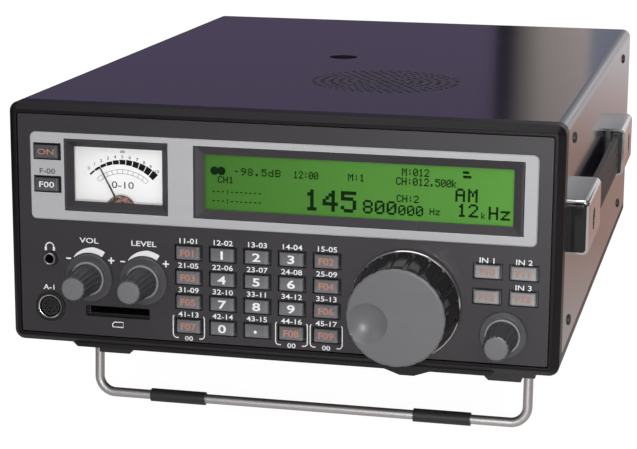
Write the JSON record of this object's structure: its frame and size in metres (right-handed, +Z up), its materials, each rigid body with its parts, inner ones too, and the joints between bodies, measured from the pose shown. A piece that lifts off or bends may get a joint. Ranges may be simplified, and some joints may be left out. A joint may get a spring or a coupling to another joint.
{
  "type": "wideband radio receiver",
  "caption": "Desktop radio receiver with a tuning dial, knobs, keypad, needle meter and green display, a strap handle on one side, and a fold-out wire bail under the front.",
  "frame": {"origin": "on the surface it stands on, under the centre of its box", "axes": "+Y from the front panel to the rear, +X to the right seen from the front, +Z up; the case is tipped back on its bail"},
  "size_m": [0.2284, 0.3465, 0.141],
  "materials": {
    "frame_black": "fine moulded texture",
    "panel_grey": "fine moulded texture",
    "plate_silver": "satin silver paint",
    "bezel_black": "satin",
    "scale_white": "matt white paint",
    "needle_black": "matt black paint",
    "display_green": "backlit",
    "clear_window": "polished",
    "key_grey": "satin",
    "key_pale": "satin",
    "key_dark": "satin",
    "knob_grey": "fine matt",
    "shaft_steel": "turned",
    "board_green": "solder mask",
    "socket_black": "satin",
    "cover_violet_grey": "satin paint",
    "cover_black": "satin paint",
    "socket_nickel": "nickel plate",
    "chassis_metal": "plain sheet",
    "speaker_black": "satin paint",
    "handle_chrome": "polished",
    "strap_rubber": "ribbed",
    "foot_black": "satin",
    "bail_wire": "satin nickel",
    "sleeve_rubber": "matt",
    "screw_black": "blackened"
  },
  "bodies": {
    "case": {"front_frame": "frame_black", "front_panel": "panel_grey", "display_plate": "plate_silver", "meter_case": "bezel_black", "meter_scale": "scale_white", "lcd_mask": "bezel_black", "lcd_panel": "display_green", "display_windows": "clear_window", "control_bodies": "shaft_steel", "circuit_boards": "board_green", "phones_jack": "socket_black", "accessory_socket": "socket_black", "card_socket": "socket_black", "top_cover": "cover_violet_grey", "bottom_cover": "cover_black", "rear_panel": "cover_black", "rear_connectors": "socket_nickel", "chassis": "chassis_metal", "speaker": "speaker_black", "handle_caps": "handle_chrome", "handle_strap": "strap_rubber", "feet": "foot_black", "screws": "screw_black"},
    "main_dial_unit": {"main_dial": "knob_grey", "main_dial_shaft": "shaft_steel"},
    "sub_dial_unit": {"sub_dial": "knob_grey", "sub_dial_shaft": "shaft_steel"},
    "volume_unit": {"volume_knob": "knob_grey", "volume_shaft": "shaft_steel"},
    "squelch_unit": {"squelch_knob": "knob_grey", "squelch_shaft": "shaft_steel"},
    "needle": {"meter_needle": "needle_black"},
    "bail": {"tilt_bail": "bail_wire", "bail_sleeves": "sleeve_rubber"},
    "power_key": {"power_key": "key_dark"},
    "function_key": {"function_key": "key_dark"},
    "search_key": {"search_key": "key_grey"},
    "digit_1_key": {"digit_1_key": "key_grey"},
    "digit_2_key": {"digit_2_key": "key_grey"},
    "digit_3_key": {"digit_3_key": "key_grey"},
    "mode_key": {"mode_key": "key_grey"},
    "scan_key": {"scan_key": "key_grey"},
    "digit_4_key": {"digit_4_key": "key_grey"},
    "digit_5_key": {"digit_5_key": "key_grey"},
    "digit_6_key": {"digit_6_key": "key_grey"},
    "step_key": {"step_key": "key_grey"},
    "memory_key": {"memory_key": "key_grey"},
    "digit_7_key": {"digit_7_key": "key_grey"},
    "digit_8_key": {"digit_8_key": "key_grey"},
    "digit_9_key": {"digit_9_key": "key_grey"},
    "filter_key": {"filter_key": "key_grey"},
    "shift_key": {"shift_key": "key_grey"},
    "digit_0_key": {"digit_0_key": "key_grey"},
    "point_key": {"point_key": "key_grey"},
    "clear_key": {"clear_key": "key_grey"},
    "enter_key": {"enter_key": "key_grey"},
    "antenna_key": {"antenna_key": "key_pale"},
    "main_key": {"main_key": "key_pale"},
    "tune_key": {"tune_key": "key_pale"},
    "sub_key": {"sub_key": "key_pale"}
  },
  "joints": [
    {"name": "main_dial_spin", "type": "hinge", "parent": "case", "child": "main_dial_unit", "pos_m": [0.0476, -0.14884, 0.07032], "axis": [0, 0.9942, -0.1074], "continuous": true},
    {"name": "sub_dial_spin", "type": "hinge", "parent": "case", "child": "sub_dial_unit", "pos_m": [0.0853, -0.1499, 0.06057], "axis": [0, 0.9942, -0.1074], "continuous": true},
    {"name": "volume_turn", "type": "hinge", "parent": "case", "child": "volume_unit", "pos_m": [-0.0803, -0.14858, 0.07271], "axis": [0, 0.9942, -0.1074], "range_deg": [-150, 150]},
    {"name": "squelch_turn", "type": "hinge", "parent": "case", "child": "squelch_unit", "pos_m": [-0.0577, -0.14858, 0.07271], "axis": [0, 0.9942, -0.1074], "range_deg": [-150, 150]},
    {"name": "needle_swing", "type": "hinge", "parent": "case", "child": "needle", "pos_m": [-0.0681, -0.14085, 0.09867], "axis": [0, 0.9942, -0.1074], "range_deg": [-18, 70], "stiffness_Nm_per_rad": 0.0002},
    {"name": "bail_fold", "type": "hinge", "parent": "case", "child": "bail", "pos_m": [-0.0034, -0.09747, 0.03097], "axis": [1, 0, 0], "range_deg": [0, 93]},
    {"name": "power_key_press", "type": "slide", "parent": "case", "child": "power_key", "axis": [0, 0.9942, -0.1074], "range_m": [0, 0.0008], "stiffness_N_per_m": 600},
    {"name": "function_key_press", "type": "slide", "parent": "case", "child": "function_key", "axis": [0, 0.9942, -0.1074], "range_m": [0, 0.0008], "stiffness_N_per_m": 600},
    {"name": "search_key_press", "type": "slide", "parent": "case", "child": "search_key", "axis": [0, 0.9942, -0.1074], "range_m": [0, 0.0008], "stiffness_N_per_m": 600},
    {"name": "digit_1_key_press", "type": "slide", "parent": "case", "child": "digit_1_key", "axis": [0, 0.9942, -0.1074], "range_m": [0, 0.0008], "stiffness_N_per_m": 600},
    {"name": "digit_2_key_press", "type": "slide", "parent": "case", "child": "digit_2_key", "axis": [0, 0.9942, -0.1074], "range_m": [0, 0.0008], "stiffness_N_per_m": 600},
    {"name": "digit_3_key_press", "type": "slide", "parent": "case", "child": "digit_3_key", "axis": [0, 0.9942, -0.1074], "range_m": [0, 0.0008], "stiffness_N_per_m": 600},
    {"name": "mode_key_press", "type": "slide", "parent": "case", "child": "mode_key", "axis": [0, 0.9942, -0.1074], "range_m": [0, 0.0008], "stiffness_N_per_m": 600},
    {"name": "scan_key_press", "type": "slide", "parent": "case", "child": "scan_key", "axis": [0, 0.9942, -0.1074], "range_m": [0, 0.0008], "stiffness_N_per_m": 600},
    {"name": "digit_4_key_press", "type": "slide", "parent": "case", "child": "digit_4_key", "axis": [0, 0.9942, -0.1074], "range_m": [0, 0.0008], "stiffness_N_per_m": 600},
    {"name": "digit_5_key_press", "type": "slide", "parent": "case", "child": "digit_5_key", "axis": [0, 0.9942, -0.1074], "range_m": [0, 0.0008], "stiffness_N_per_m": 600},
    {"name": "digit_6_key_press", "type": "slide", "parent": "case", "child": "digit_6_key", "axis": [0, 0.9942, -0.1074], "range_m": [0, 0.0008], "stiffness_N_per_m": 600},
    {"name": "step_key_press", "type": "slide", "parent": "case", "child": "step_key", "axis": [0, 0.9942, -0.1074], "range_m": [0, 0.0008], "stiffness_N_per_m": 600},
    {"name": "memory_key_press", "type": "slide", "parent": "case", "child": "memory_key", "axis": [0, 0.9942, -0.1074], "range_m": [0, 0.0008], "stiffness_N_per_m": 600},
    {"name": "digit_7_key_press", "type": "slide", "parent": "case", "child": "digit_7_key", "axis": [0, 0.9942, -0.1074], "range_m": [0, 0.0008], "stiffness_N_per_m": 600},
    {"name": "digit_8_key_press", "type": "slide", "parent": "case", "child": "digit_8_key", "axis": [0, 0.9942, -0.1074], "range_m": [0, 0.0008], "stiffness_N_per_m": 600},
    {"name": "digit_9_key_press", "type": "slide", "parent": "case", "child": "digit_9_key", "axis": [0, 0.9942, -0.1074], "range_m": [0, 0.0008], "stiffness_N_per_m": 600},
    {"name": "filter_key_press", "type": "slide", "parent": "case", "child": "filter_key", "axis": [0, 0.9942, -0.1074], "range_m": [0, 0.0008], "stiffness_N_per_m": 600},
    {"name": "shift_key_press", "type": "slide", "parent": "case", "child": "shift_key", "axis": [0, 0.9942, -0.1074], "range_m": [0, 0.0008], "stiffness_N_per_m": 600},
    {"name": "digit_0_key_press", "type": "slide", "parent": "case", "child": "digit_0_key", "axis": [0, 0.9942, -0.1074], "range_m": [0, 0.0008], "stiffness_N_per_m": 600},
    {"name": "point_key_press", "type": "slide", "parent": "case", "child": "point_key", "axis": [0, 0.9942, -0.1074], "range_m": [0, 0.0008], "stiffness_N_per_m": 600},
    {"name": "clear_key_press", "type": "slide", "parent": "case", "child": "clear_key", "axis": [0, 0.9942, -0.1074], "range_m": [0, 0.0008], "stiffness_N_per_m": 600},
    {"name": "enter_key_press", "type": "slide", "parent": "case", "child": "enter_key", "axis": [0, 0.9942, -0.1074], "range_m": [0, 0.0008], "stiffness_N_per_m": 600},
    {"name": "antenna_key_press", "type": "slide", "parent": "case", "child": "antenna_key", "axis": [0, 0.9942, -0.1074], "range_m": [0, 0.0008], "stiffness_N_per_m": 600},
    {"name": "main_key_press", "type": "slide", "parent": "case", "child": "main_key", "axis": [0, 0.9942, -0.1074], "range_m": [0, 0.0008], "stiffness_N_per_m": 600},
    {"name": "tune_key_press", "type": "slide", "parent": "case", "child": "tune_key", "axis": [0, 0.9942, -0.1074], "range_m": [0, 0.0008], "stiffness_N_per_m": 600},
    {"name": "sub_key_press", "type": "slide", "parent": "case", "child": "sub_key", "axis": [0, 0.9942, -0.1074], "range_m": [0, 0.0008], "stiffness_N_per_m": 600}
  ]
}
